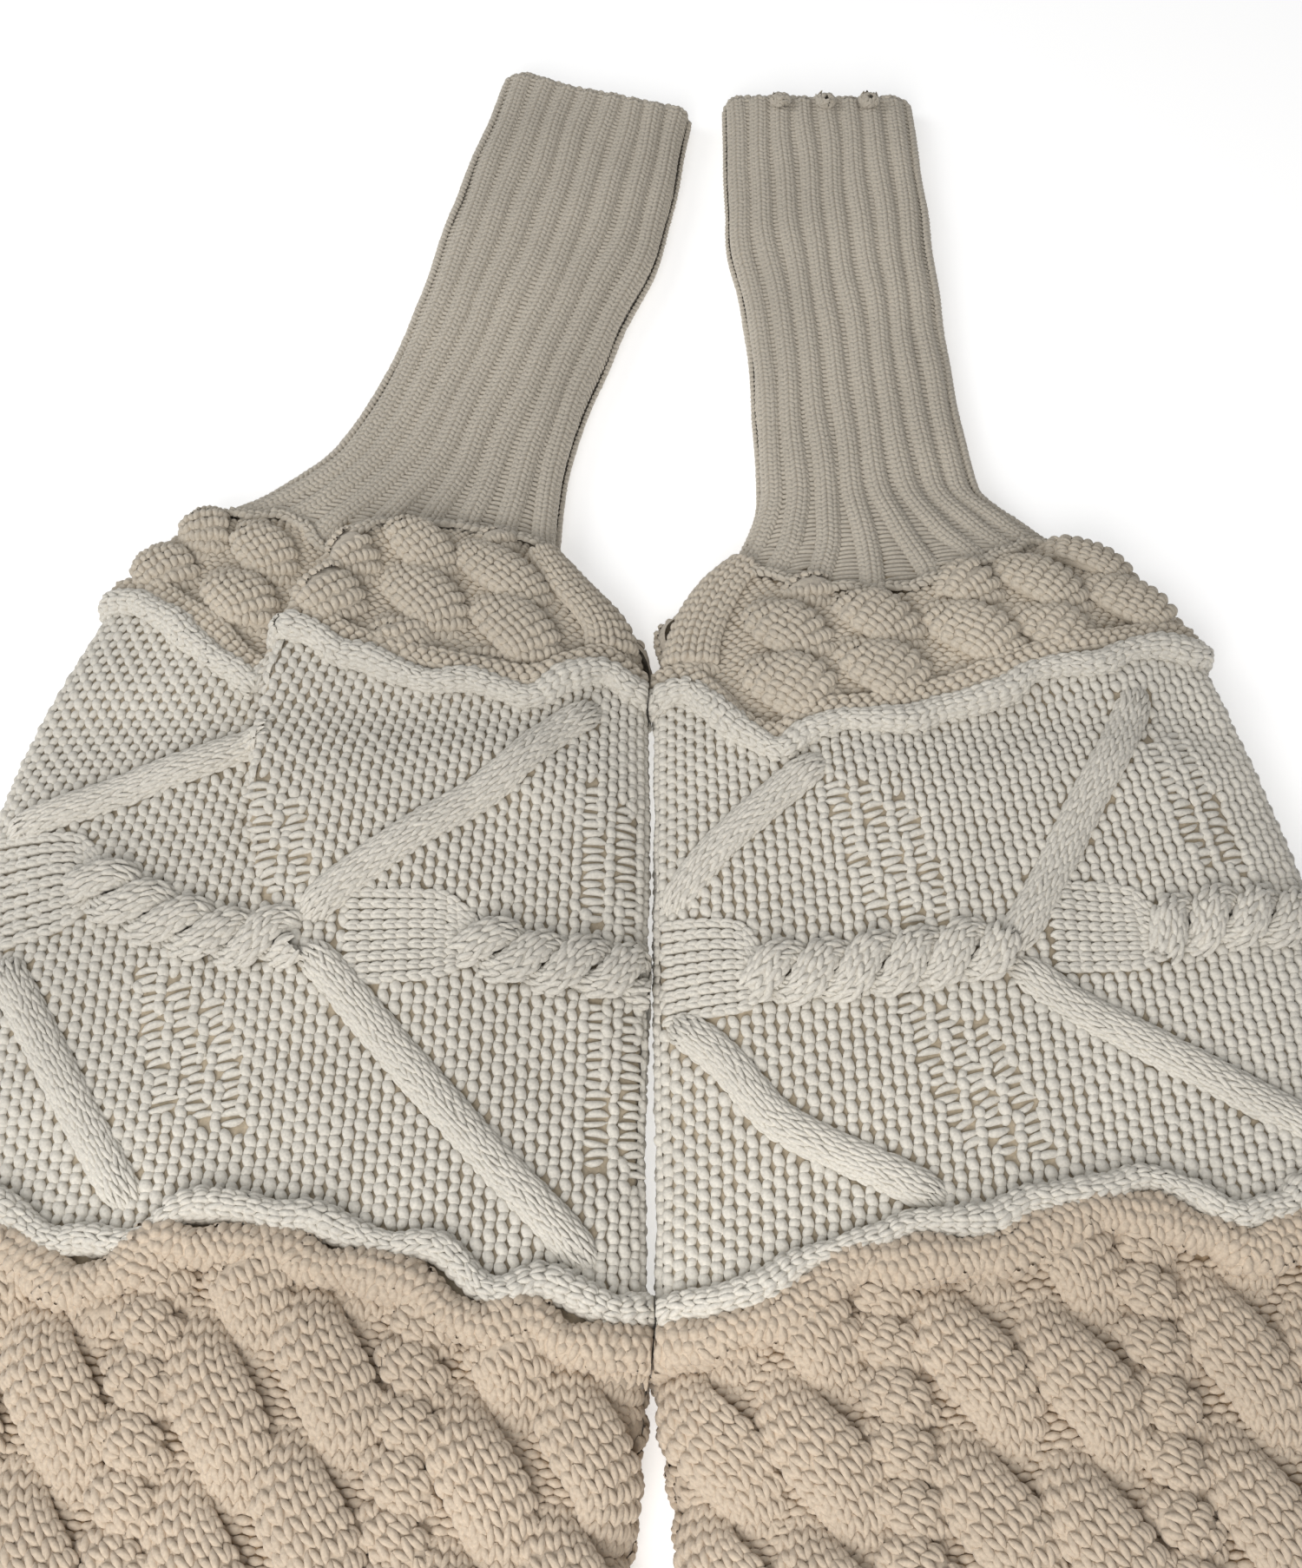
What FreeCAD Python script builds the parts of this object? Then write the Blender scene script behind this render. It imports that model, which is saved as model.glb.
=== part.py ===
import FreeCAD, Part
import os
from FreeCAD import Vector

# A pair of knitted balloon sleeves laid flat, side by side, cuffs towards +Y.
# Each sleeve is a flattened tube of four knitted panels, joined and finished by
# trims that run round the tube. The floor is z = 0 and lengths are millimetres.

WALL = 4.5              # thickness of the ribbed and cream knitting
CHUNKY_WALL = 6.0       # thickness of the heavy cable knitting
MOUTH_EDGE = 5.0        # diameter of the cast-off edge round the cuff's mouth
CHAIN = 3.6             # diameter of the linking chain at the cuff's base
BAND_EDGE = 7.0         # diameter of the garter edge under the cable band
ROLL = 9.0              # diameter of the cream rolled trims
CROCHET = 13.0          # diameter of the beige rolled edge
ARMHOLE_EDGE = 8.0      # diameter of the cast-off edge round the armhole end
PROUD = 2.0             # how far a trim stands out beyond the panels
CLEAR = 0.1             # gap between a trim and the panel beside it
SEAM = 2.4              # side of the square seam allowance inside each panel
SEAM_GAP = 0.8          # between the allowance and the panel's wall
PRESSED = 0.3           # how far the knitting's underside is pressed flat on the floor
KNOTS = 3               # yarn knots on the right cuff's mouth
KNOT_RADIUS = 4.0
KNOT_START = 0.30       # the first knot's place across the mouth, as a share of its width
KNOT_STEP = 0.25        # from one knot to the next, as a share of the width
FLOOR = Part.makeBox(1000.0, 1000.0, 10.0, Vector(-500.0, -500.0, -10.0))
MIDDLE = Vector(0.0, 21.2, 0.0)      # centre of the pair's outline before centring

# Stations from the cuff's mouth to the armhole end, as the tube's inner edge
# (the side towards the other sleeve), its outer edge and its height there.
RIGHT = {
    "mouth": ((37, 361), (124, 361), 17),
    "cuff_top": ((39, 283), (127, 283), 16),
    "cuff_waist": ((48, 208), (130, 208), 16),
    "cuff_low": ((49, 122), (137, 125), 18),
    "cuff_end": ((38, 92), (156, 101), 22),
    "band_mid": ((15, 64), (194, 75), 27),
    "band_end": ((4, 38), (206, 53), 30),
    "aran_top": ((3, 20), (213, 36), 32),
    "aran_high": ((2.5, -38), (230, -32), 36),
    "aran_low": ((3.5, -110), (242, -98), 37),
    "aran_end": ((4, -196), (246, -162), 35),
    "cable_top": ((4.5, -220), (246, -186), 35),
    "cable_mid": ((10, -272), (245, -246), 36),
    "cable_end": ((17, -335), (242, -324), 34),
}
LEFT = {
    "mouth": ((17, 352), (-69, 379), 17),
    "cuff_top": ((3, 268), (-91, 290), 16),
    "cuff_waist": ((-18, 208), (-103, 228), 16),
    "cuff_low": ((-38, 130), (-129, 147), 18),
    "cuff_end": ((-40, 95), (-154, 122), 22),
    "band_mid": ((-22, 64), (-194, 97), 27),
    "band_end": ((-4, 38), (-207, 76), 30),
    "aran_top": ((-3, 20), (-214, 59), 32),
    "aran_high": ((-2.5, -38), (-238, -22), 36),
    "aran_low": ((-3.5, -110), (-246, -92), 37),
    "aran_end": ((-4, -196), (-246, -162), 35),
    "cable_top": ((-4.5, -220), (-246, -186), 35),
    "cable_mid": ((-8, -272), (-245, -246), 36),
    "cable_end": ((-14, -335), (-242, -324), 34),
}

# Each panel: the stations it runs through and its wall.
PANELS = {
    "cuff_rib": (("mouth", "cuff_top", "cuff_waist", "cuff_low", "cuff_end"), WALL),
    "upper_cable_band": (("cuff_end", "band_mid", "band_end"), WALL),
    "aran_panel": (("aran_top", "aran_high", "aran_low", "aran_end"), WALL),
    "lower_cable_panel": (("cable_top", "cable_mid", "cable_end"), CHUNKY_WALL),
}

# Each trim that fills the gap between two panels: the station it lies against,
# its diameter, and whether it lies below that station (1) or above it (-1).
TRIMS = {
    "band_edge": ("band_end", BAND_EDGE, 1),
    "upper_roll": ("aran_top", ROLL, -1),
    "lower_roll": ("aran_end", ROLL, 1),
    "crochet_edge": ("cable_top", CROCHET, -1),
}


class Section:
    """The upright plane across the tube at one place along a sleeve."""

    def __init__(self, inner, outer, height):
        self.height = height
        self.inner = Vector(inner[0], inner[1], 0) - MIDDLE
        self.outer = Vector(outer[0], outer[1], 0) - MIDDLE
        self.across = (self.outer - self.inner).normalize()
        self.along = Vector(0, 0, 1).cross(self.across)
        if self.along.y > 0:
            self.along = self.along * -1

    def moved(self, distance):
        """The same section, this far down the sleeve."""
        other = Section((0, 0), (1, 0), self.height)
        other.inner = self.inner + self.along * distance
        other.outer = self.outer + self.along * distance
        other.across = self.across
        other.along = self.along
        return other

    def outline(self, inset):
        """A flat ring with round ends, inset from the tube's outside all the way round."""
        radius = self.height / 2.0 - inset
        start = self.inner + self.across * (self.height / 2.0)
        end = self.outer - self.across * (self.height / 2.0)
        low = Vector(0, 0, inset - PRESSED)
        middle = Vector(0, 0, self.height / 2.0)
        high = Vector(0, 0, self.height - inset)
        edges = [
            Part.makeLine(start + low, end + low),
            Part.Arc(end + low, end + middle + self.across * radius, end + high).toShape(),
            Part.makeLine(end + high, start + high),
            Part.Arc(start + high, start + middle - self.across * radius, start + low).toShape(),
        ]
        return Part.Wire(edges)


def sections(table, names):
    return [Section(*table[name]) for name in names]


def tube(stations, wall):
    """A flattened tube through the stations, open at both ends and flat underneath."""
    outside = Part.makeLoft([s.outline(0) for s in stations], True, False)
    hollow = Part.makeLoft([s.outline(wall) for s in stations], True, False)
    return outside.cut(FLOOR).cut(hollow)


def ring(section, diameter):
    """A round trim lying round the tube, standing PROUD of it above and at both edges."""
    radius = diameter / 2.0
    bend = section.height / 2.0 + PROUD / 2.0 - radius
    start = section.inner + section.across * (bend + radius - PROUD)
    end = section.outer - section.across * (bend + radius - PROUD)
    low = Vector(0, 0, radius)
    middle = Vector(0, 0, radius + bend)
    high = Vector(0, 0, radius + 2 * bend)
    path = Part.Wire([
        Part.makeLine(start + low, end + low),
        Part.Arc(end + low, end + middle + section.across * bend, end + high).toShape(),
        Part.makeLine(end + high, start + high),
        Part.Arc(start + high, start + middle - section.across * bend, start + low).toShape(),
    ])
    profile = Part.Wire(Part.makeCircle(radius, start + low, section.across))
    return path.makePipeShell([profile], True, True)


def seam_strip(stations, wall):
    """The sewn allowance that lies inside a panel along its inner edge."""
    wires = []
    for s in stations:
        corner = s.inner + s.across * (wall + SEAM_GAP) + Vector(0, 0, s.height / 2.0 - SEAM / 2.0)
        side = s.across * SEAM
        up = Vector(0, 0, SEAM)
        wires.append(Part.makePolygon([corner, corner + side, corner + side + up, corner + up, corner]))
    return Part.makeLoft(wires, True, False)


def sleeve(table):
    """Every piece of one sleeve, by name."""
    pieces = {}
    seams = []
    for name, (stations, wall) in PANELS.items():
        places = sections(table, stations)
        if name == "cuff_rib":
            places[0] = places[0].moved(MOUTH_EDGE / 2.0)
            places[-1] = places[-1].moved(-CHAIN / 2.0)
        if name == "upper_cable_band":
            places[0] = places[0].moved(CHAIN / 2.0)
        if name == "lower_cable_panel":
            places[-1] = places[-1].moved(-ARMHOLE_EDGE / 2.0)
        pieces[name] = tube(places, wall)
        seams.append(seam_strip(places, wall))
    pieces["underarm_seam"] = Part.makeCompound(seams)
    pieces["cuff_edge"] = ring(Section(*table["mouth"]), MOUTH_EDGE)
    pieces["linking_chain"] = ring(Section(*table["cuff_end"]), CHAIN)
    for trim, (station, diameter, way) in TRIMS.items():
        place = Section(*table[station]).moved(way * (diameter / 2.0 + CLEAR))
        pieces[trim] = ring(place, diameter)
    pieces["armhole_edge"] = ring(Section(*table["cable_end"]), ARMHOLE_EDGE)
    return pieces


def knots(table):
    """Small yarn knots that stand on the front of the cuff's mouth."""
    mouth = Section(*table["mouth"])
    width = (mouth.outer - mouth.inner).Length
    solids = []
    for i in range(KNOTS):
        share = KNOT_START + KNOT_STEP * i
        centre = mouth.inner + mouth.across * (width * share)
        centre = centre + mouth.along * (MOUTH_EDGE / 2.0 + KNOT_RADIUS)
        centre.z = mouth.height + KNOT_RADIUS + CLEAR
        solids.append(Part.makeSphere(KNOT_RADIUS, centre))
    return Part.makeCompound(solids)


os.makedirs("parts", exist_ok=True)
total = []
for side, table in (("left", LEFT), ("right", RIGHT)):
    made = sleeve(table)
    if side == "right":
        made["cuff_knots"] = knots(table)
    for name, shape in made.items():
        node = side + "_" + name
        shape.exportStep("parts/" + node + ".step")
        total.append(shape)
        print(node, "valid", shape.isValid(), "solids", len(shape.Solids), "cm3", round(shape.Volume / 1000.0, 1))
print("box", Part.makeCompound(total).optimalBoundingBox(False))
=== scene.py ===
"""Looks of a pair of knitted balloon sleeves laid flat: every stitch is yarn-shaped mesh.

Lengths are millimetres until a mesh is made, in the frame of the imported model. A place on a
sleeve is a share (0 at the inner edge, 0.5 at the outer edge over the top, on to 1 round the
underside) and a run (the distance from the cuff's mouth along the middle of the sleeve).
"""
import math

import bpy
import numpy as np
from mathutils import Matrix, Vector


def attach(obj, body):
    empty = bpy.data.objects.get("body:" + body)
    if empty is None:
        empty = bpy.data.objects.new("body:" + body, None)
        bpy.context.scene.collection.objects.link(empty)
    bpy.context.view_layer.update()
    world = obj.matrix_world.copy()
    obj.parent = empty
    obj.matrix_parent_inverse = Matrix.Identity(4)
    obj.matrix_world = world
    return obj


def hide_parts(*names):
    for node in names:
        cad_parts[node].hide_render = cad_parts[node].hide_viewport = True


MM = 0.001
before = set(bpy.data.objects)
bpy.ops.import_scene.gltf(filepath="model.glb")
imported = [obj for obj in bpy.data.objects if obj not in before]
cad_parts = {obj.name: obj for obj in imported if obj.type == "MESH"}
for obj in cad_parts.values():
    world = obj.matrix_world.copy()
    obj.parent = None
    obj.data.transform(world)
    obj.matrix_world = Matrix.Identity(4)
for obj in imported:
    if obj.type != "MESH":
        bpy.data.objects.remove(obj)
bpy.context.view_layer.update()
dice = np.random.default_rng(11)

# ---------------------------------------------------------------- driving dimensions

RIBS = 17               # 2x2 ribs round a cuff
RIB_HALF = 5.2          # half a rib's width where it isn't squeezed
RIB_RISE = 3.2
RIB_COURSE = 2.5        # one row of stitches
LIP = 2.4               # radius of the cuff's rolled mouth
LIP_INSIDE = 16.0       # how far the ribs go down inside the mouth
MOUTH_CORNERS = 5.0     # how far the mouth's two corners stand out
DROP_PITCH = 4.0        # from one column of drops to the next in the cream ground
DROP_STEP = 3.4         # from one drop to the next in a column
DROP_SIZES = ((6.2, 4.0), (5.0, 3.1))   # length and width of a column's two kinds of drop
DROP_TILT = 24.0        # drops lean this way and that, in degrees
RUNG_STEP = 3.4         # from one ladder rung to the next
LADDER_PITCH = 12.0     # from one ladder to the next
LADDER_WIDTH = 7.6
CORD_HALF = 7.4         # half the width of a raised diagonal cord
CORD_RISE = 6.0
ROLL_RADIUS = 5.5
CROCHET_HALF = 7.8
CROCHET_RISE = 6.4
# Rows of bumps round the crochet edge: angle from its top, bump spacing, length and width.
CROCHET_ROWS = ((-95, 3.2, 7.0, 3.4), (-58, 3.2, 6.4, 3.4), (-22, 3.2, 5.8, 3.4), (14, 3.2, 5.8, 3.4),
                (50, 3.2, 6.8, 3.4), (92, 3.2, 7.4, 3.6))
BAND_COURSE = 3.9
BAND_CABLES = 12        # columns round the upper band
BAND_PLAIN_EVERY = 6    # the first of every six is a plain column
CHUNKY_REPEATS = 6      # repeats of the cable pattern round the lower panel
# Each kind of cable: half a strand's width, its sway, the length of half a turn, its rise, how
# many columns of legs it has and the length of a course.
BAND_CABLE = (12.4, 8.6, 27.0, 6.2, 10, BAND_COURSE)
WIDE_CABLE = (13.2, 9.2, 46.0, 6.2, 12, 5.0)
TWIST_CABLE = (8.6, 6.6, 17.0, 5.0, 8, 4.8)
CHUNKY_PATTERN = ((0.195, WIDE_CABLE), (0.585, WIDE_CABLE), (0.88, TWIST_CABLE))
ROPE_PERIOD = 16.4      # the length of half a turn
ROPE_SWAY = 7.0
ROPE_HALF = 6.8
FAN_RIBS = 9            # ribs that gather into a rope's end
SHEET_DEPTH = 1.3       # the plain sheet under the stitches lies this far in
FLOOR_GAP = 0.2         # the lowest the pressed wool reaches
MEETING_GAP = 0.45      # from the surface where the sleeves meet to each one's wool
MEETING_END = 60        # the sleeves part above this y
MOUTH_FADE = 35.0       # the mouth's corners are drawn out over this much run
KNOT_SHARES = (0.15, 0.265, 0.375)
KNOT_DROPS = 60

# Each station: inner edge x and y, outer edge x and y, and height, as in the CAD sleeve.
RIGHT = {
    "mouth": (37, 340, 124, 340, 17),
    "cuff_top": (37, 262, 127, 262, 16),
    "cuff_waist": (45, 187, 129, 187, 16),
    "cuff_low": (47, 101, 136, 104, 18),
    "cuff_end": (38, 71, 156, 80, 22),
    "band_mid": (14, 43, 194, 54, 27),
    "band_end": (4, 17, 207, 32, 30),
    "aran_top": (2.2, -1, 214, 15, 32),
    "aran_high": (2.0, -59, 230, -53, 36),
    "aran_low": (2.2, -131, 242, -119, 37),
    "aran_end": (3, -217, 246, -183, 35),
    "cable_top": (3, -241, 246, -207, 35),
    "cable_mid": (10, -293, 245, -267, 36),
    "cable_end": (17, -356, 242, -345, 34),
}
LEFT = {
    "mouth": (17, 331, -69, 358, 17),
    "cuff_top": (3, 247, -91, 269, 16),
    "cuff_waist": (-18, 187, -104, 207, 16),
    "cuff_low": (-38, 109, -132, 126, 18),
    "cuff_end": (-40, 74, -156, 101, 22),
    "band_mid": (-22, 43, -195, 76, 27),
    "band_end": (-4, 17, -208, 55, 30),
    "aran_top": (-2.2, -1, -214, 38, 32),
    "aran_high": (-2.0, -59, -239, -43, 36),
    "aran_low": (-2.2, -131, -246, -113, 37),
    "aran_end": (-3, -217, -246, -183, 35),
    "cable_top": (-3, -241, -246, -207, 35),
    "cable_mid": (-8, -293, -245, -267, 36),
    "cable_end": (-14, -356, -242, -345, 34),
}

# Lines on the front of each sleeve, as x, y points: the seams, the raised cords, the ropes.
SEAMS = {
    "right": {
        "chain": [(34, 61), (39, 55), (54, 47), (73, 41), (90, 39), (107, 42), (129, 52),
                  (145, 61), (158, 69)],
        "roll": [(0, -7), (13, -6), (25, -16), (36, -31), (48, -36), (58, -26), (81, -25),
                 (108, -18), (132, -9), (159, 2), (183, 8), (202, 13)],
        "lower": [(8, -242), (22, -240), (41, -234), (58, -225), (70, -220), (98, -217),
                  (127, -209), (155, -204), (178, -206), (194, -213), (206, -211), (216, -202)],
        "crochet": [(7, -254), (22, -254), (41, -247), (69, -232), (91, -229), (105, -231),
                    (125, -222), (154, -215), (173, -220), (191, -227), (209, -220)],
    },
    "left": {
        "chain": [(-41, 61), (-53, 68), (-81, 72), (-106, 70), (-126, 58), (-137, 69), (-149, 79)],
        "roll": [(-3, -8), (-17, 0), (-33, -5), (-49, -12), (-69, -10), (-96, -4), (-116, 2),
                 (-130, 10), (-140, 13), (-147, 2), (-150, -9), (-170, 9), (-185, 22), (-203, 35)],
        "lower": [(-6, -242), (-14, -242), (-36, -234), (-52, -236), (-69, -226), (-89, -220),
                  (-112, -215), (-132, -212), (-154, -212), (-167, -223), (-186, -223),
                  (-198, -217), (-211, -210)],
        "crochet": [(-6, -256), (-20, -256), (-38, -249), (-54, -251), (-71, -241), (-91, -234),
                    (-114, -229), (-134, -226), (-156, -226), (-169, -236), (-188, -237),
                    (-200, -231), (-213, -223)],
    },
}
CORDS = {
    "right": [
        [(64, -40), (44, -58), (25, -76), (6, -101)],
        [(187, -7), (175, -32), (158, -62), (139, -97), (124, -121)],
        [(7, -142), (24, -158), (43, -181), (71, -196), (96, -209)],
        [(125, -124), (146, -142), (171, -156), (195, -169), (217, -180), (236, -192)],
    ],
    "left": [
        [(-146, -33), (-167, -43), (-191, -53), (-215, -62), (-236, -71)],
        [(-20, -15), (-39, -32), (-60, -55), (-85, -74), (-108, -94), (-122, -109)],
        [(-121, -118), (-98, -144), (-73, -172), (-48, -199), (-31, -216), (-19, -229)],
        [(-227, -121), (-207, -153), (-187, -184), (-169, -211)],
    ],
}
# Each rope: its line from the loose end, and the fan of ribs that gathers into that end, as
# the fan's upper and lower corner.
ROPES = {
    "right": [
        ([(35, -129), (60, -128), (91, -124), (124, -119)], (5, -106), (6, -143)),
        ([(175, -116), (199, -107), (230, -104), (243, -103)], (141, -95), (141, -127)),
    ],
    "left": [
        ([(-201, -91), (-174, -107), (-146, -116), (-123, -116)], (-238, -73), (-231, -117)),
        ([(-64, -116), (-39, -124), (-15, -125), (-2, -125)], (-106, -99), (-105, -133)),
    ],
}
# Groups of ladders: middle x at the top, middle x at the bottom, upper and lower y, how many.
LADDERS = {
    "right": [(78, 92, -50, -112, 3), (100, 118, -138, -196, 3), (190, 205, -22, -92, 2)],
    "left": [(-136, -128, -58, -104, 2), (-163, -150, -128, -184, 3), (-16, -14, -54, -112, 2),
             (-13, -12, -136, -200, 2)],
}
FOLD = [(-120, 66), (-123, 49), (-132, 31), (-140, 13), (-145, -9), (-147, -32), (-145, -58),
        (-140, -87), (-128, -107)]
FOLD_RISE = 8.0

CAMERA_PLACE = (0.0, -0.3932, 0.625)    # metres
CAMERA_TILT = 30                        # degrees up from looking straight down
CAMERA_LENS = 51.36
SENSOR_WIDTH = 36.0
ROOM_LIGHT = 0.36
FLOOR_HALF = 4.0                        # metres


def smooth(knots, values, at):
    """Values on a smooth curve through the knots that never swings past them."""
    knots = np.asarray(knots, float)
    values = np.asarray(values, float)
    rises = np.diff(values, axis=0) / (np.diff(knots) if values.ndim == 1 else np.diff(knots)[:, None])
    before, after = rises[:-1], rises[1:]
    same = before * after > 0
    middle = np.where(same, 2 * before * after / np.where(same, before + after, 1.0), 0.0)
    slopes = np.concatenate([rises[:1], middle, rises[-1:]])
    at = np.asarray(at, float)
    i = np.clip(np.searchsorted(knots, at) - 1, 0, len(knots) - 2)
    gap = knots[i + 1] - knots[i]
    t = np.clip((at - knots[i]) / gap, 0, 1)
    if values.ndim > 1:
        gap = gap[:, None]
        t = t[:, None]
    a = 2 * t**3 - 3 * t**2 + 1
    b = t**3 - 2 * t**2 + t
    c = -2 * t**3 + 3 * t**2
    d = t**3 - t**2
    return a * values[i] + b * gap * slopes[i] + c * values[i + 1] + d * gap * slopes[i + 1]


def unit(v):
    """The same directions at length 1."""
    return v / np.maximum(np.linalg.norm(v, axis=-1, keepdims=True), 1e-9)


def ease(x):
    """From 0 to 1 smoothly as x goes from 0 to 1."""
    x = np.clip(x, 0, 1)
    return x * x * (3 - 2 * x)


def ripple(x, y, length, seed):
    """Gentle uneven waves of about this length, between -1 and 1."""
    waves = np.random.default_rng(seed)
    total = 0
    for _ in range(5):
        angle, phase = waves.uniform(0, 2 * math.pi, 2)
        k = 2 * math.pi / (length * waves.uniform(0.7, 1.4))
        total = total + np.sin(k * (x * math.cos(angle) + y * math.sin(angle)) + phase)
    return total / 3.0


class Tube:
    """The outer surface of one sleeve, as a table over share and run."""

    SHARES = 360
    STEP = 2.0
    TOP = 2.5           # how square the top's section is; 2 is an ellipse
    BOTTOM = 5.0
    LOW = 1.2           # the surface's lowest point

    def __init__(self, side):
        table = RIGHT if side == "right" else LEFT
        self.side = side
        self.sign = 1 if side == "right" else -1
        rows = np.array(list(table.values()), float)
        middles = (rows[:, 0:2] + rows[:, 2:4]) / 2
        chain = np.concatenate([[0], np.cumsum(np.linalg.norm(np.diff(middles, axis=0), axis=1))])
        self.station = dict(zip(table, chain))
        self.length = chain[-1]
        self.runs = np.linspace(0, self.length, int(self.length / self.STEP) + 1)
        self.rows = smooth(chain, rows, self.runs)
        inner = self.rows[:, 0:2]
        outer = self.rows[:, 2:4]
        width = np.linalg.norm(outer - inner, axis=1)
        across = unit(outer - inner)
        angle = np.linspace(0, math.pi, 361)
        x, up = -np.cos(angle), np.sin(angle)
        self.girth = np.zeros(len(self.runs))
        self.fractions = np.zeros((len(self.runs), self.SHARES + 1))
        points = np.zeros((len(self.runs), self.SHARES + 1, 3))
        half = self.SHARES // 2
        for k, h in enumerate(self.rows[:, 4]):
            middle = h / 2
            for part, power, reach in ((0, self.TOP, h - middle), (1, self.BOTTOM, middle - self.LOW)):
                across_mm = np.sign(x) * np.abs(x) ** (2 / power) * width[k] / 2
                up_mm = up ** (2 / power) * reach
                if part:
                    across_mm = -across_mm
                    up_mm = -up_mm
                arc = np.concatenate([[0], np.cumsum(np.hypot(np.diff(across_mm), np.diff(up_mm)))])
                self.girth[k] += arc[-1]
                even = np.linspace(0, arc[-1], half + 1)
                at = slice(part * half, part * half + half + 1)
                xs = np.interp(even, arc, across_mm)
                self.fractions[k, at] = xs / width[k] + 0.5
                points[k, at, 0:2] = (inner[k] + outer[k]) / 2 + across[k] * xs[:, None]
                points[k, at, 2] = middle + np.interp(even, arc, up_mm)
        shares = np.linspace(0, 1, self.SHARES + 1)[None, :]
        corners = np.abs(np.cos(2 * math.pi * shares)) ** 5 - 0.35      # peaks at both edges
        start = ease((MOUTH_FADE - self.runs) / MOUTH_FADE)[:, None]
        points[..., 1] += MOUTH_CORNERS * start * corners
        self.points = points
        self.normals = self.outward()
        self.points = points + self.relief()[..., None] * self.normals
        self.points[..., 2] = np.maximum(self.points[..., 2], self.LOW * 0.8)
        self.normals = self.outward()
        self.acrosses = unit(self.gradient(self.points))
        self.downs = unit(np.gradient(self.points, axis=0))

    @staticmethod
    def gradient(table):
        """Differences round the closed tube."""
        around = np.concatenate([table[:, -2:-1], table, table[:, 1:2]], axis=1)
        return (around[:, 2:] - around[:, :-2]) / 2

    def outward(self):
        """Normals of the table's points, out of the tube."""
        down = np.gradient(self.points, axis=0)
        return unit(np.cross(down, self.gradient(self.points)) * self.sign)

    def relief(self):
        """How far the cloth stands off its plain section: soft waves, puckers and the pleat."""
        x, y = self.points[..., 0], self.points[..., 1]
        shares = np.linspace(0, 1, self.SHARES + 1)[None, :]
        top = ease((np.sin(2 * math.pi * shares)) * 3)
        full = ease((90 - y) / 40)
        bumps = 1.5 * ripple(x, y, 90, 3 + self.sign) + 0.7 * ripple(x, y, 38, 8 + self.sign)
        lift = bumps * full * (0.25 + 0.75 * top)
        lift = lift + 0.5 * ripple(x, y, 45, 5) * (1 - full)
        # a soft crease across the sleeve just below the upper roll
        lift = lift - 3.2 * full * top * np.exp(-((y + 22) / 14) ** 2) * ease((np.abs(x) - 20) / 40)
        if self.side == "left":
            path = np.array(FOLD, float)[::-1]
            edge = smooth(path[:, 1], path[:, 0], np.clip(y, path[0, 1], path[-1, 1]).ravel())
            past = x - edge.reshape(y.shape)        # the pleat lies over on its inner side
            here = ease((y + 112) / 55) * ease((78 - y) / 14) * top
            over = ease(past / 2.6 + 0.5) * np.exp(-np.maximum(past, 0) / 70)
            under = ease(-past / 2.6 + 0.5) * np.exp(-np.maximum(-past, 0) / 35)
            lift = lift + here * (FOLD_RISE * over - 2.5 * under)
        return lift

    def look(self, table, share, run):
        """Bilinear values of a table at shares and runs."""
        s = np.mod(share, 1.0) * self.SHARES
        r = np.clip(run / self.length, 0, 1) * (len(self.runs) - 1)
        i = np.clip(s.astype(int), 0, self.SHARES - 1)
        j = np.clip(r.astype(int), 0, len(self.runs) - 2)
        fs = s - i
        fr = r - j
        if table.ndim > 2:
            fs = fs[..., None]
            fr = fr[..., None]
        upper = table[j, i] * (1 - fs) + table[j, i + 1] * fs
        lower = table[j + 1, i] * (1 - fs) + table[j + 1, i + 1] * fs
        return upper * (1 - fr) + lower * fr

    def at(self, share, run):
        """Point, direction round the tube, direction down it and normal, at shares and runs.

        Runs under LIP roll over the mouth and go down inside it.
        """
        share, run = np.broadcast_arrays(np.asarray(share, float), np.asarray(run, float))
        turn = np.clip((LIP - run) / LIP, 0, None)
        rolled = np.minimum(turn, math.pi)
        inside = (turn - rolled) * LIP
        on = np.where(turn > 0, LIP * (1 - np.sin(rolled)) + inside, run)
        depth = LIP * (1 - np.cos(rolled))
        normal = unit(self.look(self.normals, share, on))
        down = unit(self.look(self.downs, share, on))
        point = self.look(self.points, share, on) - normal * depth[..., None]
        across = unit(self.look(self.acrosses, share, on))
        c = np.cos(rolled)[..., None]
        s = np.sin(rolled)[..., None]
        return point, across, down * c + normal * s, normal * c - down * s

    def around(self, run):
        """The tube's girth at these runs."""
        return np.interp(run, self.runs, self.girth)

    def locate(self, xy):
        """Share and run of x, y points on the front."""
        shares, runs = [], []
        inner = self.rows[:, 0:2]
        across = self.rows[:, 2:4] - inner
        for p in np.asarray(xy, float):
            to = p - inner
            past = across[:, 0] * to[:, 1] - across[:, 1] * to[:, 0]
            past = past * self.sign
            run = np.interp(0, past, self.runs)
            k = int(np.clip(np.searchsorted(self.runs, run), 0, len(self.runs) - 1))
            fraction = np.dot(to[k], across[k]) / np.dot(across[k], across[k])
            half = self.SHARES // 2 + 1
            shares.append(np.interp(fraction, self.fractions[k, :half], np.linspace(0, 0.5, half)))
            runs.append(run)
        return np.array(shares), np.array(runs)

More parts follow.
